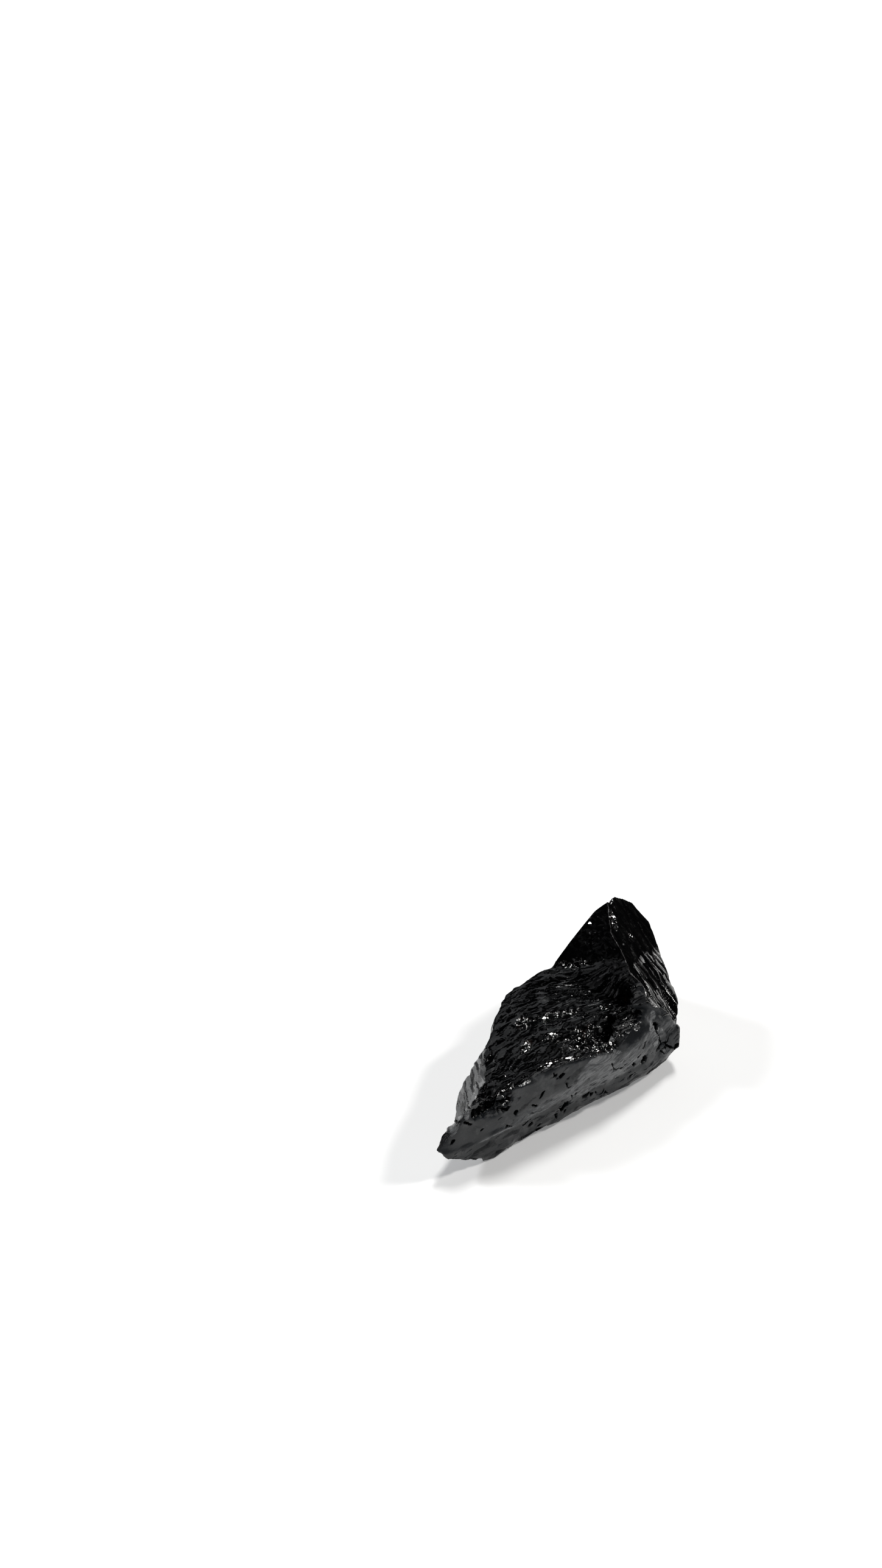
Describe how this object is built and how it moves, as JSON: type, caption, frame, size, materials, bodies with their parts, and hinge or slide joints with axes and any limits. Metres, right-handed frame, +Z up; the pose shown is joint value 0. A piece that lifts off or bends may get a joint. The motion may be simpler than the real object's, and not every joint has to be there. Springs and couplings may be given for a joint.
{
  "type": "black tourmaline",
  "caption": "Rough lump of black tourmaline with a flat top face, a long broken front face and a raised peak at one end.",
  "frame": {"origin": "on the ground under the middle of the stone's bounding box", "axes": "+X along the crystal's long axis towards the peak end, +Y towards the back, away from the long broken front face, +Z up from the surface it rests on"},
  "size_m": [0.0712, 0.0392, 0.0284],
  "materials": {
    "tourmaline": "rough broken mineral, glassy black with grey sheen"
  },
  "bodies": {
    "root": {"tourmaline_stone": "tourmaline"}
  },
  "joints": []
}
